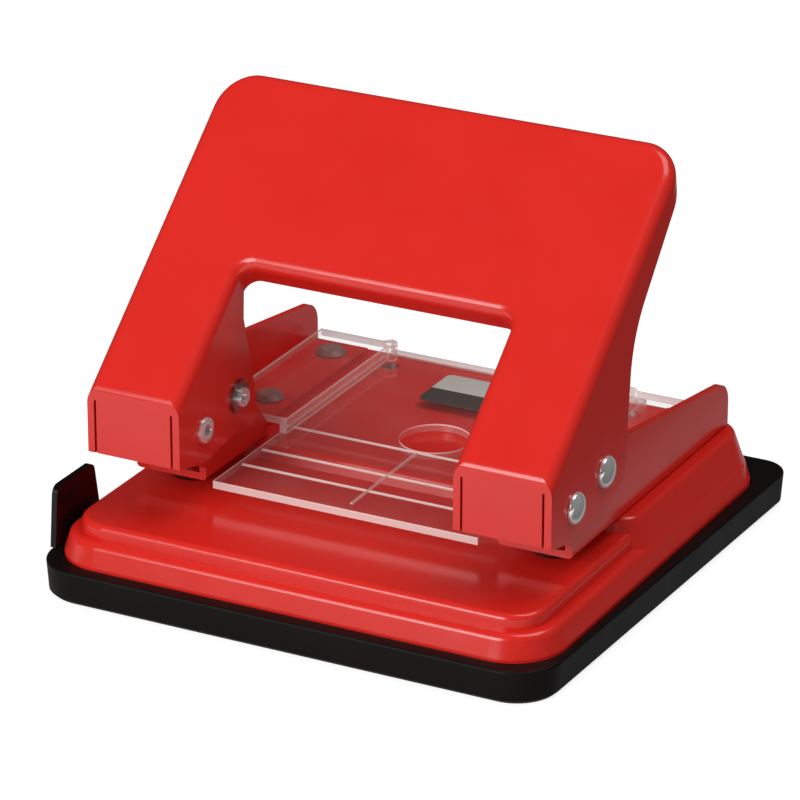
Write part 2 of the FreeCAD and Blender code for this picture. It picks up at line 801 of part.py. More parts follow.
def trim_lever(body):
    # Cuts the inner flanges and the lip down to their own rear edge.
    trim = new_sketch(body, "YZ_Plane", "InnerFlangeTrim")
    lip = plate_point(size.window_length - size.window_round, size.lip_depth)
    lip_end = plate_point(size.window_length + size.lip_depth, size.lip_depth)
    waist = plate_point(size.window_length - size.inner_waist_drop, size.inner_waist_depth)
    back = size.base_back
    outline(trim, [(size.inner_heel_back, 0), (back, 0), (back, lip_end[1]), lip_end, lip, waist,
                   (size.inner_heel_back, size.pivot_height)])
    pocket(body, trim, 2 * (leg_inner + size.lever_sheet + size.gap), both=True,
           name="InnerFlangeEdge")
    bores = new_sketch(body, "YZ_Plane", "PinBores")
    circle(bores, size.pivot_back, size.pivot_height, size.pin_width / 2 + size.running_fit)
    circle(bores, drive_back, drive_height, size.pin_width / 2 + size.running_fit)
    pocket(body, bores, 2 * (lever_half + size.cut_margin), both=True, name="PinBore")
    # Each foot tab is folded down separately, so a seam stands at its two sides.
    for side in (-1, 1):
        for edge, into in ((lever_half - size.lever_sheet, -1),
                           (leg_inner + size.lever_sheet, 1)):
            seam = new_sketch(body, "XZ_Plane", "SeamOutline", size.foot_front + size.cut_margin)
            ends = sorted((side * edge, side * (edge + into * size.seam)),
                          key=lambda end: end.number)
            rectangle(seam, ends[0], ends[1], sized(0), size.foot_high - size.lever_bend)
            pocket(body, seam, size.lever_sheet + 2 * size.cut_margin, name="Seam")


# ---- hinge and drive pins -------------------------------------------------------------------

def dome(body, side, place, height, name):
    # Domed head outside the lever's flange, on a pin that runs along X.
    sketch = new_sketch(body, "YZ_Plane", name, side * lever_half)
    circle(sketch, place, height, size.pin_head / 2)
    pad(body, sketch, size.pin_dome, back=side < 0, name=name + "Head")
    face = side * (lever_half + size.pin_dome)
    bevel_edges(body, size.pin_dome * dome_bevel, lambda edge: upright(edge, face),
                name + "Crown")
    bevel_edges(body, size.pin_dome * crown_bevel, lambda edge: upright(edge, face),
                name + "Crest")


def shank(body, side, place, height, start, end, radius, name):
    sketch = new_sketch(body, "YZ_Plane", name, side * start)
    circle(sketch, place, height, radius)
    pad(body, sketch, end - start, back=side < 0, name=name + "Shank")


def bore_end(body, side, place, height, start, depth, radius):
    # Blind hole in the centre-side end of a semi-tubular pin.
    sketch = new_sketch(body, "YZ_Plane", "EndBoreOutline", side * start)
    circle(sketch, place, height, radius)
    pocket(body, sketch, depth, back=side > 0, name="EndBore")


def build_pivot_rivet(label, side):
    body = new_body(label)
    place, height = size.pivot_back, size.pivot_height
    dome(body, side, place, height, "Pivot")
    shank(body, side, place, height, leg_inner, lever_half, size.pin_width / 2, "Pivot")
    shank(body, side, place, height, leg_inner - size.clench_rise, leg_inner,
          size.clench_width / 2, "Clench")
    bore_end(body, side, place, height, leg_inner - size.clench_rise, size.pin_bore_depth,
             size.pin_bore / 2)
    return body


def build_drive_pin(label, side):
    body = new_body(label)
    place, height = drive_back, drive_height
    dome(body, side, place, height, "Drive")
    groove_end = leg_inner - size.clip_thick
    shank(body, side, place, height, groove_end, lever_half, size.clip_bore / 2, "Groove")
    shank(body, side, place, height, leg_inner, lever_half, size.pin_width / 2, "Drive")
    shank(body, side, place, height, groove_end - size.pin_tail, groove_end,
          size.pin_width / 2, "Tail")
    bore_end(body, side, place, height, groove_end - size.pin_tail, size.pin_tail,
             size.pin_bore / 2)
    return body


def build_drive_clip(label, side):
    # Flat spring clip, open on one side, in the groove at the drive pin's inner end.
    body = new_body(label)
    start = leg_inner - size.clip_thick
    disc = new_sketch(body, "YZ_Plane", "ClipOutline", side * start)
    circle(disc, drive_back, drive_height, size.clip_outer / 2)
    circle(disc, drive_back, drive_height, size.clip_bore / 2)
    pad(body, disc, size.clip_thick, back=side < 0, name="Disc")
    mouth = new_sketch(body, "YZ_Plane", "MouthOutline", side * (start - size.gap))
    half = size.clip_mouth / 2
    rectangle(mouth, drive_back - half, drive_back + half, drive_height - size.clip_outer,
              drive_height)
    pocket(body, mouth, size.clip_thick + 2 * size.gap, back=side > 0, name="Mouth")
    return body


def build_pivot_sleeve(label, side):
    # Spacer tube between a bracket's two walls.
    body = new_body(label)
    start = punch_x - size.bracket_half + size.bracket_sheet
    ring = new_sketch(body, "YZ_Plane", "SleeveOutline", side * start)
    circle(ring, size.pivot_back, size.pivot_height, size.sleeve_width / 2)
    circle(ring, size.pivot_back, size.pivot_height, size.pin_width / 2 + size.running_fit)
    pad(body, ring, 2 * (size.bracket_half - size.bracket_sheet), back=side < 0, name="Sleeve")
    return body


# ---- punches, springs and dies --------------------------------------------------------------

def build_punch(label, side):
    body = new_body(label)
    middle = side * punch_x
    tip = new_sketch(body, "XY_Plane", "TipOutline", punch_tip)
    circle(tip, middle, 0, size.hole_width / 2)
    pad(body, tip, punch_head_low - punch_tip, name="Shank")
    head = new_sketch(body, "XY_Plane", "HeadOutline", punch_head_low)
    circle(head, middle, 0, size.punch_head / 2)
    pad(body, head, punch_head_high - punch_head_low, name="Head")
    bevel_edges(body, size.punch_bevel, lambda edge: level(edge, punch_head_high), "HeadBevel")
    slot = new_sketch(body, "YZ_Plane", "CrossSlotOutline", middle - size.punch_head)
    tall = size.pin_width / 2 + size.gap
    wide = tall + size.drive_wander
    rectangle(slot, -wide, wide, drive_height - tall, drive_height + tall)
    pocket(body, slot, 2 * size.punch_head, back=True, name="CrossSlot")
    notch = new_sketch(body, "YZ_Plane", "TipNotchOutline", middle - size.hole_width)
    half = size.hole_width / 2
    outline(notch, [(-half, punch_tip), (-half, punch_tip - size.cut_margin),
                    (half, punch_tip - size.cut_margin), (half, punch_tip),
                    (0, punch_tip + size.punch_notch)])
    pocket(body, notch, 2 * size.hole_width, back=True, name="TipNotch")
    return body


def build_spring(label, side):
    body = new_body(label)
    middle = side * punch_x
    wire = new_sketch(body, "XZ_Plane", "WireOutline")
    radius = size.spring_outer / 2 - size.spring_wire / 2
    # A hexagon stands for the thin round wire.
    thin = size.spring_wire / 2
    turns = [sized(360 * corner / wire_sides) for corner in range(wire_sides)]
    outline(wire, [(middle + radius + thin * cosine(turn), floor_top + thin + thin * sine(turn))
                   for turn in turns])
    axis_line = new_sketch(body, "XZ_Plane", "CoilAxis")
    line = axis_line.addGeometry(Part.LineSegment(
        Vector(middle.number, floor_top.number, 0),
        Vector(middle.number, punch_head_low.number, 0)), False)
    place_point(axis_line, line, 1, middle, floor_top)
    place_point(axis_line, line, 2, middle, punch_head_low)
    coil = body.newObject("PartDesign::AdditiveHelix", "Coil")
    coil.Profile = wire
    coil.ReferenceAxis = (axis_line, ["Edge1"])
    coil.Mode = "height-turns-angle"
    height = punch_head_low - floor_top - size.spring_wire
    coil.Height = height.number
    coil.setExpression("Height", height.text)
    coil.Turns = size.spring_turns.number
    coil.setExpression("Turns", size.spring_turns.text)
    return body


def build_die(label, side):
    body = new_body(label)
    middle = side * punch_x
    low = deck - size.die_depth
    flange = new_sketch(body, "XY_Plane", "FlangeOutline", low)
    circle(flange, middle, 0, size.die_flange / 2)
    pad(body, flange, size.die_depth - size.base_sheet, name="Flange")
    bush = new_sketch(body, "XY_Plane", "BushOutline", low)
    circle(bush, middle, 0, size.die_width / 2)
    pad(body, bush, size.die_depth, name="Bush")
    cut = new_sketch(body, "XY_Plane", "CutOutline", low)
    circle(cut, middle, 0, size.hole_width / 2 + size.running_fit)
    pocket(body, cut, size.die_depth, back=True, name="CutHole")
    relief = new_sketch(body, "XY_Plane", "ReliefOutline", low)
    circle(relief, middle, 0, size.hole_width / 2 + size.die_relief)
    pocket(body, relief, size.die_depth - size.die_land, back=True, name="Relief")
    return body


# ---- clear guide and its label --------------------------------------------------------------

def build_clear_guide():
    body = new_body("clear_guide")
    thick = size.guide_sheet
    plate = new_sketch(body, "XY_Plane", "PlateOutline", guide_low)
    rectangle(plate, -size.guide_half, size.guide_half, -size.guide_front, size.guide_back)
    pad(body, plate, thick, name="Plate")
    high = wing_height
    for side in (-1, 1):
        word = "Left" if side < 0 else "Right"
        step = new_sketch(body, "XZ_Plane", word + "WingOutline", -wing_front)
        near_x = side * (size.guide_half - thick)
        far_x = side * wing_half
        edge_x = side * size.guide_half
        corners = [(near_x, guide_low), (edge_x, guide_low), (edge_x, high - thick),
                   (far_x, high - thick), (far_x, high), (near_x, high)]
        outline(step, corners if side > 0 else corners[::-1])
        pad(body, step, size.wing_back - wing_front, back=True, name=word + "Wing")
    pegs = new_sketch(body, "XY_Plane", "PegOutline", platform - size.base_sheet - size.gap)
    for side in (-1, 1):
        circle(pegs, side * peg_x, size.peg_back, size.peg_width / 2)
    pad(body, pegs, high + size.peg_rise - platform + size.base_sheet + size.gap, name="Pegs")
    thumb = new_sketch(body, "XY_Plane", "ThumbOutline", platform - size.cut_margin)
    circle(thumb, 0, size.thumb_back, size.thumb_width / 2)
    pocket(body, thumb, thick + 2 * size.cut_margin, back=True, name="ThumbHole")
    mark_guide(body)
    return body


def mark_guide(body):
    # Shallow lines that show where the sheet's edge and centre go.
    top = guide_low + size.guide_sheet
    lines = new_sketch(body, "XY_Plane", "ScribeOutline", top)
    half = size.scribe / 2
    reach = size.guide_half - size.scribe_inset
    for place in (size.scribe_first, size.scribe_second, size.scribe_third):
        rectangle(lines, -reach, reach, place - half, place + half)
    pocket(body, lines, size.scribe_depth, name="Scribe")
    middle = new_sketch(body, "XY_Plane", "CentreOutline", top)
    rectangle(middle, -half, half, size.centre_front, size.scribe_third)
    pocket(body, middle, size.scribe_depth, name="CentreLine")


def build_guide_label():
    body = new_body("guide_label")
    sketch = new_sketch(body, "XY_Plane", "LabelOutline", guide_low + size.guide_sheet)
    rectangle(sketch, -size.label_half, size.label_half, size.label_front, size.label_back,
              size.label_round)
    pad(body, sketch, size.label_sheet, name="Paper")
    return body


# ---- side gauge -----------------------------------------------------------------------------

def build_side_gauge():
    body = new_body("side_gauge")
    outside = base_half + size.gap + size.stop_thick
    stop = new_sketch(body, "YZ_Plane", "StopOutline", -outside)
    outline(stop, [(size.stop_front, bar_low), (size.stop_back, bar_low),
                   (size.stop_back - size.stop_back_slant, size.stop_top, size.stop_round),
                   (size.stop_front + size.stop_front_slant, size.stop_top, size.stop_round)])
    pad(body, stop, size.stop_thick, name="Stop")
    bar = new_sketch(body, "YZ_Plane", "BarOutline", -outside)
    rectangle(bar, bar_front, size.bar_back, bar_low, bar_low + size.bar_thick)
    pad(body, bar, outside + bar_end, name="Bar")
    # Marks across the bar for the common paper sizes, read at the skirt.
    marks_sketch = new_sketch(body, "XY_Plane", "PaperMarks", bar_low + size.bar_thick)
    for reach in (size.mark_a6, size.mark_a5, size.mark_b5):
        place = reach - base_half
        rectangle(marks_sketch, place - size.bar_mark / 2, place + size.bar_mark / 2,
                  bar_front - size.cut_margin, size.bar_back + size.cut_margin)
    pocket(body, marks_sketch, size.bar_mark / 2, name="Marks")
    return body


def build_gauge_strap():
    # Hat-shaped steel strap under the deck, round the gauge's bar.
    body = new_body("gauge_strap")
    wall = size.strap_sheet
    roof = deck - size.base_sheet
    inside_front = bar_front - size.gap
    inside_back = size.bar_back + size.gap
    low = bar_low - size.gap
    hat = new_sketch(body, "YZ_Plane", "HatOutline", size.strap_start - base_half)
    outline(hat, [(inside_front - wall, low - wall), (inside_back + wall, low - wall),
                  (inside_back + wall, roof - wall), (inside_back + size.strap_foot, roof - wall),
                  (inside_back + size.strap_foot, roof), (inside_back, roof),
                  (inside_back, low), (inside_front, low), (inside_front, roof),
                  (inside_front - size.strap_foot, roof),
                  (inside_front - size.strap_foot, roof - wall),
                  (inside_front - wall, roof - wall)])
    pad(body, hat, size.strap_length, name="Strap")
    return body


# ---- building and writing -------------------------------------------------------------------

def build_all():
    built = [build_chip_tray(), build_base_plate(), build_bracket_rivets(), build_lever(),
             build_clear_guide(), build_guide_label(), build_side_gauge(), build_gauge_strap()]
    for side, word in ((-1, "left"), (1, "right")):
        built.append(build_bracket(f"{word}_bracket", side))
        built.append(build_pivot_rivet(f"{word}_pivot_rivet", side))
        built.append(build_drive_pin(f"{word}_drive_pin", side))
        built.append(build_drive_clip(f"{word}_drive_clip", side))
        built.append(build_pivot_sleeve(f"{word}_pivot_sleeve", side))
        built.append(build_punch(f"{word}_punch", side))
        built.append(build_spring(f"{word}_spring", side))
        built.append(build_die(f"{word}_die", side))
    return built


def require_sound(body):
    # Stops the build on a failed feature or a bad solid.
    for item in body.Group:
        if "Invalid" in item.State or "Error" in item.State:
            raise RuntimeError(f"{body.Label}: {item.Name} is {item.State}")
        if item.isDerivedFrom("Sketcher::SketchObject") and item.solve() != 0:
            raise RuntimeError(f"{body.Label}: sketch {item.Name} has no solution")
    if body.Shape.isNull() or not body.Shape.isValid():
        raise RuntimeError(f"{body.Label}: bad shape")


def write_parts(built):
    os.makedirs("parts", exist_ok=True)
    for body in built:
        require_sound(body)
        body.Shape.exportStep(f"parts/{body.Label}.step")
        print(body.Label, round(body.Shape.Volume, 1))


pieces = build_all()
doc.recompute()
write_parts(pieces)
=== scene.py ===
import math
import bmesh
import bpy
from mathutils import Matrix, Vector


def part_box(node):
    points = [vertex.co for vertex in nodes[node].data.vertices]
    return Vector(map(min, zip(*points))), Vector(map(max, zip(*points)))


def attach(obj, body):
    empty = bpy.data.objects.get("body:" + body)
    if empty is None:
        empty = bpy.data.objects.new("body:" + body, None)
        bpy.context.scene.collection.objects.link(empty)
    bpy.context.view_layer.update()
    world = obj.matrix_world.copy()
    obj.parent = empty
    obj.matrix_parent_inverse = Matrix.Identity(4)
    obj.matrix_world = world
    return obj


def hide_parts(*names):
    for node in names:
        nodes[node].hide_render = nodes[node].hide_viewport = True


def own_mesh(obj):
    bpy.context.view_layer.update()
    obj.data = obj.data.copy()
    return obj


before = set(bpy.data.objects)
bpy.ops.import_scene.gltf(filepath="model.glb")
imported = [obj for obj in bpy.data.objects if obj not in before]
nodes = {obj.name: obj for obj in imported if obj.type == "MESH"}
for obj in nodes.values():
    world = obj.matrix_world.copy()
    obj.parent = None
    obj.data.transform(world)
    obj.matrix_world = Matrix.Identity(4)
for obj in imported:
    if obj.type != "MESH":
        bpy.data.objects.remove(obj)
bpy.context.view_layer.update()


def linear(hexColour):
    # sRGB hex to the linear colour that a shader takes
    parts = [int(hexColour[i:i + 2], 16) / 255 for i in (1, 3, 5)]
    return [p / 12.92 if p <= 0.04045 else ((p + 0.055) / 1.055) ** 2.4 for p in parts] + [1.0]


def addNode(tree, kind, inputs=None, **settings):
    node = tree.nodes.new(kind)
    for name, value in settings.items():
        setattr(node, name, value)
    for name, value in (inputs or {}).items():
        if isinstance(value, bpy.types.NodeSocket):
            tree.links.new(value, node.inputs[name])
        else:
            node.inputs[name].default_value = value
    return node


def startMaterial(name):
    material = bpy.data.materials.new(name)
    material.use_nodes = True
    tree = material.node_tree
    tree.nodes.clear()
    output = addNode(tree, "ShaderNodeOutputMaterial")
    place = addNode(tree, "ShaderNodeTexCoord").outputs["Object"]
    return material, tree, output, place


def millimetres(width):
    # noise scale whose lumps are about this wide on Object coordinates in metres
    return 1000 / width


# All finishes but the clear one are made alike. Each noise has the width of its lumps in
# millimetres and its detail. The tone goes from one colour to the other over toneReach of the
# pattern that it follows, the roughness from one value to the other over noiseReach, and the
# bump has a strength and a depth in millimetres.
noiseReach = (0.2, 0.8)  # nearly all of a noise's values lie in here
wholeReach = (0.0, 1.0)


def makeSurface(name, look):
    material, tree, output, place = startMaterial(name)
    pattern = {}
    if "seam" in look:
        split = addNode(tree, "ShaderNodeSeparateXYZ", {"Vector": place})
        pattern["seam"] = addNode(tree, "ShaderNodeMath", {0: split.outputs["Y"], 1: look["seam"]},
                                  operation="GREATER_THAN").outputs[0]
    if "stretch" in look:
        place = addNode(tree, "ShaderNodeMapping",
                        {"Vector": place, "Scale": look["stretch"]}).outputs["Vector"]
    for noiseName, (width, detail) in look["noises"].items():
        pattern[noiseName] = addNode(tree, "ShaderNodeTexNoise",
                                     {"Vector": place, "Scale": millimetres(width),
                                      "Detail": detail}).outputs["Fac"]
    follows, first, second = look["tone"]
    low, high = look["toneReach"]
    drift = addNode(tree, "ShaderNodeMapRange",
                    {"Value": pattern[follows], "From Min": low, "From Max": high})
    tone = addNode(tree, "ShaderNodeMix",
                   {"Factor": drift.outputs["Result"], "A": linear(first), "B": linear(second)},
                   data_type="RGBA", clamp_factor=True)
    follows, glossy, dull = look["rough"]
    rough = addNode(tree, "ShaderNodeMapRange",
                    {"Value": pattern[follows], "From Min": noiseReach[0],
                     "From Max": noiseReach[1], "To Min": glossy, "To Max": dull})
    follows, strength, depth = look["bump"]
    bump = addNode(tree, "ShaderNodeBump",
                   {"Height": pattern[follows], "Strength": strength, "Distance": depth / 1000})
    shader = addNode(tree, "ShaderNodeBsdfPrincipled",
                     {"Base Color": tone.outputs["Result"], "Roughness": rough.outputs["Result"],
                      "Normal": bump.outputs["Normal"], **look["shader"]})
    tree.links.new(shader.outputs[0], output.inputs["Surface"])
    return material


# Stoving enamel, sprayed over pressed steel: an even saturated red with a soft orange-peel
# ripple that breaks up the edge of each highlight.
redEnamel = {
    "noises": {"cloud": (22.0, 3.0), "sheen": (7.0, 2.0), "peel": (1.6, 1.0)},
    "tone": ("cloud", "#da271e", "#d5251c"), "toneReach": noiseReach,
    "rough": ("sheen", 0.20, 0.25), "bump": ("peel", 0.05, 0.06),
    "shader": {"IOR": 1.5, "Coat Weight": 0.15, "Coat Roughness": 0.12},
}

# Injection-moulded polystyrene with a spark-eroded grain: a warm near-black that scatters
# light softly and shows a thin pale line only along its rim.
blackStyrene = {
    "noises": {"flow": (14.0, 2.0), "grain": (0.55, 3.0)},
    "tone": ("flow", "#0f0a09", "#150f0e"), "toneReach": noiseReach,
    "rough": ("flow", 0.40, 0.52), "bump": ("grain", 0.25, 0.08),
    "shader": {"IOR": 1.55, "Specular IOR Level": 0.11},
}

# ABS from a polished mould: deep black, glossier than the tray, with faint sink ripples.
glossAbs = {
    "noises": {"sink": (6.0, 1.0)},
    "tone": ("sink", "#050505", "#0c0b0b"), "toneReach": wholeReach,
    "rough": ("sink", 0.22, 0.30), "bump": ("sink", 0.08, 0.2),
    "shader": {"IOR": 1.54, "Specular IOR Level": 0.25},
}

# Nickel-chrome plate on cold-headed rivets: bright and almost white, and partly diffuse, so that
# the lamps light its white as a painted reflection, with a fine haze of die marks under a
# millimetre wide.
chromePlate = {
    "noises": {"haze": (0.9, 3.0)},
    "tone": ("haze", "#fafaf8", "#e8e9e9"), "toneReach": wholeReach,
    "rough": ("haze", 0.08, 0.16), "bump": ("haze", 0.05, 0.05),
    "shader": {"Metallic": 0.62},
}

# Ground and hardened steel: a satin grey. The noise is squeezed in height into turning marks
# about 0.2 millimetres apart.
groundSteel = {
    "stretch": (1.0, 1.0, 9.0), "noises": {"marks": (1.6, 4.0)},
    "tone": ("marks", "#a9a9a8", "#8a8b8d"), "toneReach": wholeReach,
    "rough": ("marks", 0.24, 0.4), "bump": ("marks", 0.08, 0.04),
    "shader": {"Metallic": 1.0},
}

# Dull zinc plate on the floor rivets: a grey with a painted red reflection of the enamel round it,
# and a faint crystalline mottle.
zincPlate = {
    "noises": {"mottle": (1.2, 3.0)},
    "tone": ("mottle", "#a87a72", "#8f6862"), "toneReach": wholeReach,
    "rough": ("mottle", 0.34, 0.48), "bump": ("mottle", 0.08, 0.05),
    "shader": {"Metallic": 0.25},
}

# Printed vinyl label, left blank: a charcoal band in front of the seam and a pale one behind.
printedVinyl = {
    "seam": 0.0505, "noises": {"grain": (0.4, 2.0)},
    "tone": ("seam", "#4e4540", "#b8b3ad"), "toneReach": wholeReach,
    "rough": ("grain", 0.35, 0.5), "bump": ("grain", 0.05, 0.03),
    "shader": {"IOR": 1.5},
}

# Clear moulded polystyrene: the enamel shows through it slightly greyed and hazed, its cut edges
# carry painted highlights as pale milky lines, and its engraved lines are soft milky strokes. How
# milky a place is goes from 0, clear, to 1. Heights and places are in metres.
clearGuide = {
    "tint": "#fefdfd", "gloss": 0.06, "ior": 1.5, "milk": "#fbefea", "milkRough": 0.35,
    "flow": (9.0, 1.0), "ripple": (0.05, 0.2), "haze": (0.012, 0.030),
    "levelFrom": 0.9, "grooveFloor": (0.0193, 0.0195), "stroke": 0.34,
    # milk shares of the upright walls, which paint their highlights
    "uprightTo": 0.4, "edge": 0.20, "frontTo": -0.95, "frontWallHighlight": 0.62,
    "holeAt": (0.0, 0.0276, 0.0189), "holeReach": 0.0082, "holeWallHighlight": 0.14,
    "wingTop": 0.0229, "plateTop": 0.0197, "arrisHalf": 0.0003, "arrisHighlight": 0.72,
}


def clearBody(tree, surface, flow):
    # see-through, with a sheen on the outside alone
    strength, depth = clearGuide["ripple"]
    ripple = addNode(tree, "ShaderNodeBump",
                     {"Height": flow, "Strength": strength, "Distance": depth / 1000})
    through = addNode(tree, "ShaderNodeBsdfTransparent", {"Color": linear(clearGuide["tint"])})
    gloss = addNode(tree, "ShaderNodeBsdfGlossy",
                    {"Color": (1, 1, 1, 1), "Roughness": clearGuide["gloss"],
                     "Normal": ripple.outputs["Normal"]})
    sheen = addNode(tree, "ShaderNodeFresnel",
                    {"IOR": clearGuide["ior"], "Normal": ripple.outputs["Normal"]})
    outside = addNode(tree, "ShaderNodeMath", {0: 1.0, 1: surface.outputs["Backfacing"]},
                      operation="SUBTRACT")
    share = addNode(tree, "ShaderNodeMath", {0: sheen.outputs[0], 1: outside.outputs[0]},
                    operation="MULTIPLY")
    return addNode(tree, "ShaderNodeMixShader",
                   {0: share.outputs[0], 1: through.outputs[0], 2: gloss.outputs[0]})


def milkAndHighlightShare(tree, place, surface, flow):
    spot = addNode(tree, "ShaderNodeSeparateXYZ", {"Vector": place})
    facing = addNode(tree, "ShaderNodeSeparateXYZ", {"Vector": surface.outputs["Normal"]})
    level = addNode(tree, "ShaderNodeMath", {0: facing.outputs["Z"]}, operation="ABSOLUTE")

    # engraved strokes: the level faces at the height of the groove floors
    low, high = clearGuide["grooveFloor"]
    above = addNode(tree, "ShaderNodeMath", {0: spot.outputs["Z"], 1: low},
                    operation="GREATER_THAN")
    below = addNode(tree, "ShaderNodeMath", {0: spot.outputs["Z"], 1: high},
                    operation="LESS_THAN")
    flat = addNode(tree, "ShaderNodeMath", {0: level.outputs[0], 1: clearGuide["levelFrom"]},
                   operation="GREATER_THAN")
    between = addNode(tree, "ShaderNodeMath", {0: above.outputs[0], 1: below.outputs[0]},
                      operation="MULTIPLY")
    groove = addNode(tree, "ShaderNodeMath", {0: between.outputs[0], 1: flat.outputs[0]},
                     operation="MULTIPLY")
    stroke = addNode(tree, "ShaderNodeMath", {0: groove.outputs[0], 1: clearGuide["stroke"]},
                     operation="MULTIPLY")

    # upright walls: painted highlights, milkier in front, clearer round the hole, palest along
    # their top arrises
    upright = addNode(tree, "ShaderNodeMath", {0: level.outputs[0], 1: clearGuide["uprightTo"]},
                      operation="LESS_THAN")
    front = addNode(tree, "ShaderNodeMath", {0: facing.outputs["Y"], 1: clearGuide["frontTo"]},
                    operation="LESS_THAN")
    wall = addNode(tree, "ShaderNodeMapRange",
                   {"Value": front.outputs[0], "To Min": clearGuide["edge"],
                    "To Max": clearGuide["frontWallHighlight"]})
    fromHole = addNode(tree, "ShaderNodeVectorMath", {0: place, 1: clearGuide["holeAt"]},
                       operation="DISTANCE")
    nearHole = addNode(tree, "ShaderNodeMath",
                       {0: fromHole.outputs["Value"], 1: clearGuide["holeReach"]},
                       operation="LESS_THAN")
    wall = addNode(tree, "ShaderNodeMapRange",
                   {"Value": nearHole.outputs[0], "To Min": wall.outputs["Result"],
                    "To Max": clearGuide["holeWallHighlight"]})
    lines = [addNode(tree, "ShaderNodeMath",
                     {0: spot.outputs["Z"], 1: clearGuide[height], 2: clearGuide["arrisHalf"]},
                     operation="COMPARE").outputs[0] for height in ("wingTop", "plateTop")]
    line = addNode(tree, "ShaderNodeMath", {0: lines[0], 1: lines[1]}, operation="MAXIMUM")
    wall = addNode(tree, "ShaderNodeMapRange",
                   {"Value": line.outputs[0], "To Min": wall.outputs["Result"],
                    "To Max": clearGuide["arrisHighlight"]})
    edge = addNode(tree, "ShaderNodeMath", {0: upright.outputs[0], 1: wall.outputs["Result"]},
                   operation="MULTIPLY")

    marked = addNode(tree, "ShaderNodeMath", {0: stroke.outputs[0], 1: edge.outputs[0]},
                     operation="MAXIMUM")
    haze = addNode(tree, "ShaderNodeMapRange",
                   {"Value": flow, "From Min": noiseReach[0], "From Max": noiseReach[1],
                    "To Min": clearGuide["haze"][0], "To Max": clearGuide["haze"][1]})
    return addNode(tree, "ShaderNodeMath", {0: marked.outputs[0], 1: haze.outputs["Result"]},
                   operation="MAXIMUM")


def makeClearStyrene():
    material, tree, output, place = startMaterial("clearPolystyrene")
    surface = addNode(tree, "ShaderNodeNewGeometry")
    width, detail = clearGuide["flow"]
    flow = addNode(tree, "ShaderNodeTexNoise",
                   {"Vector": place, "Scale": millimetres(width), "Detail": detail}).outputs["Fac"]
    clear = clearBody(tree, surface, flow)
    # milky white: the haze and strokes, and the painted highlights on the walls
    milky = addNode(tree, "ShaderNodeBsdfPrincipled",
                    {"Base Color": linear(clearGuide["milk"]),
                     "Roughness": clearGuide["milkRough"], "IOR": clearGuide["ior"]})
    share = milkAndHighlightShare(tree, place, surface, flow)
    mix = addNode(tree, "ShaderNodeMixShader",
                  {0: share.outputs[0], 1: clear.outputs[0], 2: milky.outputs[0]})
    tree.links.new(mix.outputs[0], output.inputs["Surface"])
    return material


def dress(material, *names):
    for name in names:
        mesh = nodes[name].data
        mesh.materials.clear()
        mesh.materials.append(material)


def bothSides(*names):
    return [f"{side}_{name}" for name in names for side in ("left", "right")]


enamel = makeSurface("redStovingEnamel", redEnamel)
chrome = makeSurface("chromePlatedSteel", chromePlate)
steel = makeSurface("groundSteel", groundSteel)
dress(enamel, "base_plate", "lever", *bothSides("bracket"))
dress(makeSurface("grainedBlackPolystyrene", blackStyrene), "chip_tray")
dress(makeSurface("polishedBlackAbs", glossAbs), "side_gauge")
dress(chrome, *bothSides("pivot_rivet", "drive_pin"))
dress(makeSurface("dullZincPlate", zincPlate), "bracket_rivets")
dress(steel, "gauge_strap",
      *bothSides("drive_clip", "pivot_sleeve", "punch", "spring", "die"))
dress(makeClearStyrene(), "clear_guide")
dress(makeSurface("printedVinyl", printedVinyl), "guide_label")
print("materials done")


def finishPiece(name, work, material, body, node, sharpAngle):
    # smooth faces with crisp edges where two faces meet at more than the angle
    bmesh.ops.recalc_face_normals(work, faces=work.faces)
    for face in work.faces:
        face.smooth = True
    for edge in work.edges:
        edge.smooth = len(edge.link_faces) == 2 and edge.calc_face_angle() < sharpAngle
    mesh = bpy.data.meshes.new(name)
    work.to_mesh(mesh)
    work.free()
    mesh.materials.append(material)
    piece = bpy.data.objects.new(name, mesh)
    bpy.context.scene.collection.objects.link(piece)
    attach(piece, body)
    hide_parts(node)
    return piece


# Hinge rivets and drive pins, lathed about their own axis: a smooth domed head outside the
# lever, a shank through both walls and a hollow end towards the centre. Millimetres along
# and out from the axis, from the hollow end to the underside of the head.
pinSettings = {"steps": 56, "headWide": 3.2, "headStep": 0.1, "headRim": 0.35, "headRise": 1.7,
               "domeSteps": 12, "weld": 2e-6, "sharp": math.radians(38)}
hollowRivet = [(32.0, 0.0), (32.0, 1.2), (29.2, 1.2), (29.0, 1.4), (29.0, 2.3), (29.2, 2.56),
               (29.7, 2.6), (29.7, 2.0), (50.3, 2.0), (50.3, 3.1)]
groovedPin = [(29.0, 0.0), (29.0, 1.2), (28.2, 1.2), (28.1, 1.35), (28.1, 1.85), (28.25, 2.0),
              (29.0, 2.0), (29.0, 1.5), (29.7, 1.5), (29.7, 2.0), (50.3, 2.0), (50.3, 3.1)]


def makePin(node, side, profile):
    low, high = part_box(node)
    across, upward = (low.y + high.y) / 2, (low.z + high.z) / 2
    outer = profile[-1][0]
    rim = outer + pinSettings["headRim"]
    crown = pinSettings["headRise"] - pinSettings["headRim"]
    points = profile + [(outer + pinSettings["headStep"], pinSettings["headWide"])]
    for i in range(pinSettings["domeSteps"] + 1):
        turn = math.pi / 2 * i / pinSettings["domeSteps"]
        points.append((rim + crown * math.sin(turn), pinSettings["headWide"] * math.cos(turn)))
    work = bmesh.new()
    chain = [work.verts.new((side * along / 1000, across + out / 1000, upward))
             for along, out in points]
    edges = [work.edges.new(pair) for pair in zip(chain, chain[1:])]
    bmesh.ops.spin(work, geom=chain + edges, cent=(0, across, upward), axis=(1, 0, 0),
                   angle=2 * math.pi, steps=pinSettings["steps"])
    bmesh.ops.remove_doubles(work, verts=work.verts, dist=pinSettings["weld"])
    return finishPiece(f"{node}_turned", work, chrome, "lever", node,
                       pinSettings["sharp"])


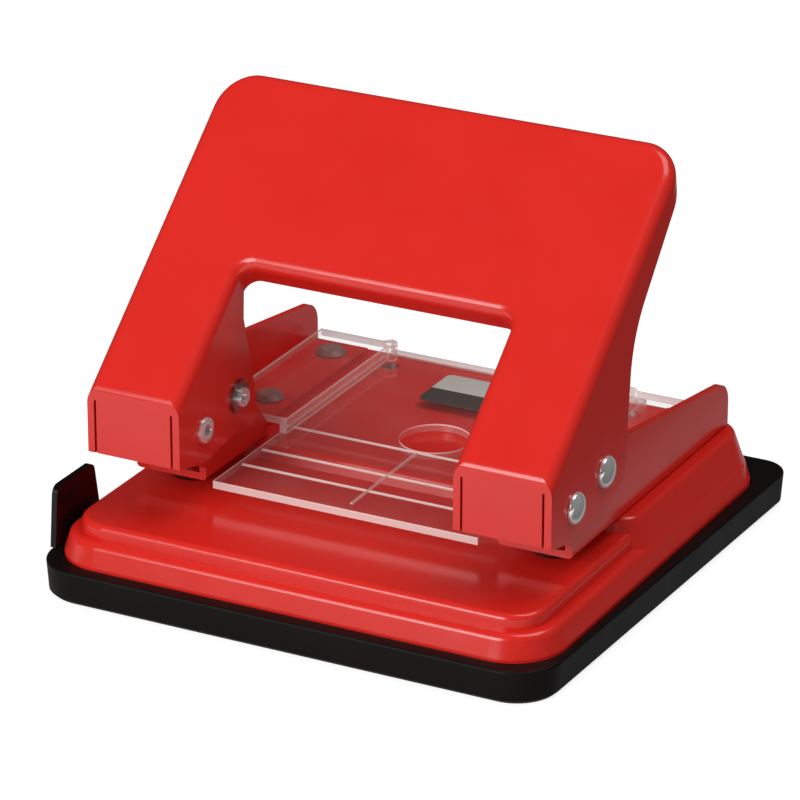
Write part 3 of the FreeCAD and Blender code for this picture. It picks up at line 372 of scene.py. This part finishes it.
for sideName, sign in (("left", -1), ("right", 1)):
    makePin(f"{sideName}_pivot_rivet", sign, hollowRivet)
    makePin(f"{sideName}_drive_pin", sign, groovedPin)
print("pins done")


# Folded brackets: the floor's front edge ends under the foot tabs, so no daylight shows
# between it and the hole in the deck, and the folds are as tight as a press brake makes them.
bracketSettings = {
    "solidFront": -0.0062, "front": -0.0088, "frontReach": 2e-5, "highest": 0.0215,
    "middle": 0.040, "half": 0.0079, "bend": 0.0024, "low": 0.018, "sheet": 0.0015,
    "outerRound": 0.0009, "innerRound": 0.0002, "weld": 1e-6, "sharp": math.radians(28),
}


def tightened(point):
    # a point of a fold, moved from the solid's wide bend to a tight one
    across = abs(point.x) - bracketSettings["middle"]
    reach = bracketSettings["half"] - bracketSettings["bend"]
    rise = bracketSettings["low"] + bracketSettings["bend"]
    slack = bracketSettings["weld"]
    if abs(across) <= reach + slack or point.z >= rise - slack:
        return point
    out, down = abs(across) - reach, rise - point.z
    turn = math.atan2(down, out)
    outer = math.hypot(out, down) > bracketSettings["bend"] - bracketSettings["sheet"] / 2
    skin = 0 if outer else bracketSettings["sheet"]
    bend = bracketSettings["outerRound" if outer else "innerRound"]
    newOut = bracketSettings["half"] - skin - bend + bend * math.cos(turn)
    newRise = bracketSettings["low"] + skin + bend - bend * math.sin(turn)
    away = math.copysign(newOut, across)
    return Vector((math.copysign(bracketSettings["middle"] + away, point.x), point.y, newRise))


def makeBracket(node):
    work = bmesh.new()
    work.from_mesh(nodes[node].data)
    bmesh.ops.remove_doubles(work, verts=work.verts, dist=bracketSettings["weld"])
    for vert in work.verts:
        atFront = abs(vert.co.y - bracketSettings["solidFront"]) < bracketSettings["frontReach"]
        if atFront and vert.co.z < bracketSettings["highest"]:
            vert.co.y = bracketSettings["front"]
        vert.co = tightened(vert.co)
    return finishPiece(f"{node}_folded", work, enamel, "base", node,
                       bracketSettings["sharp"])


for node in bothSides("bracket"):
    makeBracket(node)
print("brackets done")


# Return springs: round wire coiled between the bracket floor and the punch head. The wire and the
# coil are in millimetres across.
springSettings = {"wire": 0.7, "outer": 8.6, "turns": 3.5, "stepsPerTurn": 26, "wireSides": 12,
                  "sharp": math.radians(50)}


def makeSpring(side):
    node = f"{side}_spring"
    low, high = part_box(node)
    middle, across = (low.x + high.x) / 2, (low.y + high.y) / 2
    thin = springSettings["wire"] / 2000  # millimetres across to a radius in metres
    coil = springSettings["outer"] / 2000 - thin
    steps = round(springSettings["turns"] * springSettings["stepsPerTurn"])
    rise = (high.z - low.z - 2 * thin) / steps
    start = Matrix.Translation((middle + coil, across, low.z + thin)) \
        @ Matrix.Rotation(math.pi / 2, 4, "X")
    work = bmesh.new()
    bmesh.ops.create_circle(work, cap_ends=False, radius=thin,
                            segments=springSettings["wireSides"], matrix=start)
    bmesh.ops.spin(work, geom=work.verts[:] + work.edges[:], cent=(middle, across, 0),
                   axis=(0, 0, 1), dvec=(0, 0, rise),
                   angle=2 * math.pi * springSettings["turns"], steps=steps)
    openEnds = [edge for edge in work.edges if len(edge.link_faces) == 1]
    bmesh.ops.holes_fill(work, edges=openEnds, sides=0)
    piece = finishPiece(f"{node}_coiled", work, steel, "base", node,
                        springSettings["sharp"])
    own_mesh(piece)


for side in ("left", "right"):
    makeSpring(side)
print("springs done")


# Floor: a sheet of white paper that keeps the object's soft shadow. Glossy faces see a painted
# reflection in it: bright in front of the object, grey under and behind it and nearly black at its
# sides, changing over the two stretches in metres.
floorSettings = {
    "half": 4.0, "paper": "#ffffff", "diffuse": 0.3, "glow": 0.82,
    "front": 1.2, "under": 0.32, "sides": 0.05,
    "frontToUnder": (-0.095, -0.03), "underToSides": (0.073, 0.082),
}


def makeFloor():
    mesh = bpy.data.meshes.new("floor")
    work = bmesh.new()
    bmesh.ops.create_grid(work, x_segments=1, y_segments=1, size=floorSettings["half"])
    work.to_mesh(mesh)
    work.free()
    floor = bpy.data.objects.new("floor", mesh)
    bpy.context.scene.collection.objects.link(floor)
    material, tree, output, place = startMaterial("whitePaperFloor")
    seen = addNode(tree, "ShaderNodeLightPath")
    direct = addNode(tree, "ShaderNodeMath",
                     {0: seen.outputs["Is Camera Ray"], 1: seen.outputs["Is Transmission Ray"]},
                     operation="MAXIMUM")
    glow = addNode(tree, "ShaderNodeMath", {0: direct.outputs[0], 1: floorSettings["glow"]},
                   operation="MULTIPLY")
    paper = addNode(tree, "ShaderNodeBsdfDiffuse",
                    {"Color": [floorSettings["diffuse"]] * 3 + [1.0]})
    shine = addNode(tree, "ShaderNodeEmission",
                    {"Color": linear(floorSettings["paper"]), "Strength": glow.outputs[0]})
    both = addNode(tree, "ShaderNodeAddShader", {0: paper.outputs[0], 1: shine.outputs[0]})
    split = addNode(tree, "ShaderNodeSeparateXYZ", {"Vector": place})
    aside = addNode(tree, "ShaderNodeMath", {0: split.outputs["X"]}, operation="ABSOLUTE")
    near, far = floorSettings["underToSides"]
    dim = addNode(tree, "ShaderNodeMapRange",
                  {"Value": aside.outputs[0], "From Min": near, "From Max": far,
                   "To Min": floorSettings["under"], "To Max": floorSettings["sides"]})
    start, end = floorSettings["frontToUnder"]
    fall = addNode(tree, "ShaderNodeMapRange",
                   {"Value": split.outputs["Y"], "From Min": start, "From Max": end,
                    "To Min": floorSettings["front"], "To Max": dim.outputs["Result"]})
    # painted reflection: a glow that glossy rays alone see
    mirrored = addNode(tree, "ShaderNodeEmission",
                       {"Color": linear(floorSettings["paper"]),
                        "Strength": fall.outputs["Result"]})
    surface = addNode(tree, "ShaderNodeMixShader",
                      {0: seen.outputs["Is Glossy Ray"], 1: both.outputs[0],
                       2: mirrored.outputs[0]})
    tree.links.new(surface.outputs[0], output.inputs["Surface"])
    mesh.materials.append(material)


makeFloor()


# Soft studio light: a low broad front box, a top box to the right, and a pale room.
lights = {
    "frontBox": {"at": (-0.35, -1.43, 0.70), "size": 0.8, "power": 17.3},
    "topBox": {"at": (0.35, 0.30, 1.30), "size": 0.8, "power": 6.2},
}
lightAim = (0, 0.01, 0.03)
room = {"light": 0.46, "mirrored": 0.03, "seen": 1.0}


def makeLights():
    for name, settings in lights.items():
        lamp = bpy.data.lights.new(name, "AREA")
        lamp.shape = "SQUARE"
        lamp.size = settings["size"]
        lamp.energy = settings["power"]
        holder = bpy.data.objects.new(name, lamp)
        bpy.context.scene.collection.objects.link(holder)
        spot = Vector(settings["at"])
        turn = (Vector(lightAim) - spot).to_track_quat("-Z", "Y")
        holder.matrix_world = Matrix.Translation(spot) @ turn.to_matrix().to_4x4()


def makeRoom():
    world = bpy.data.worlds.new("paleRoom")
    bpy.context.scene.world = world
    world.use_nodes = True
    tree = world.node_tree
    tree.nodes.clear()
    seen = addNode(tree, "ShaderNodeLightPath")
    direct = addNode(tree, "ShaderNodeMath",
                     {0: seen.outputs["Is Camera Ray"], 1: seen.outputs["Is Transmission Ray"]},
                     operation="MAXIMUM")
    lit = addNode(tree, "ShaderNodeMapRange",
                  {"Value": seen.outputs["Is Glossy Ray"], "To Min": room["light"],
                   "To Max": room["mirrored"]})
    strength = addNode(tree, "ShaderNodeMapRange",
                       {"Value": direct.outputs[0], "To Min": lit.outputs["Result"],
                        "To Max": room["seen"]})
    sky = addNode(tree, "ShaderNodeBackground",
                  {"Color": (1, 1, 1, 1), "Strength": strength.outputs["Result"]})
    output = addNode(tree, "ShaderNodeOutputWorld")
    tree.links.new(sky.outputs[0], output.inputs["Surface"])


makeLights()
makeRoom()


# Long lens from the right front, a little above: azimuth 27, elevation 23 degrees.
shot = {"at": (0.401491, -0.759777, 0.400818), "right": (0.887010, 0.461750, 0.000997),
        "up": (-0.180278, 0.344319, 0.921382), "lens": 216.0, "sensor": 36.0,
        "clipStart": 0.05}


def makeCamera():
    camera = bpy.data.cameras.new("studioCamera")
    camera.lens = shot["lens"]
    camera.sensor_width = shot["sensor"]
    camera.clip_start = shot["clipStart"]
    holder = bpy.data.objects.new("studioCamera", camera)
    bpy.context.scene.collection.objects.link(holder)
    right = Vector(shot["right"]).normalized()
    up = Vector(shot["up"]).normalized()
    back = right.cross(up)
    turn = Matrix((right, up, back)).transposed().to_4x4()
    holder.matrix_world = Matrix.Translation(Vector(shot["at"])) @ turn
    bpy.context.scene.camera = holder


makeCamera()
bpy.context.scene.view_settings.view_transform = "Standard"
print("stage done")
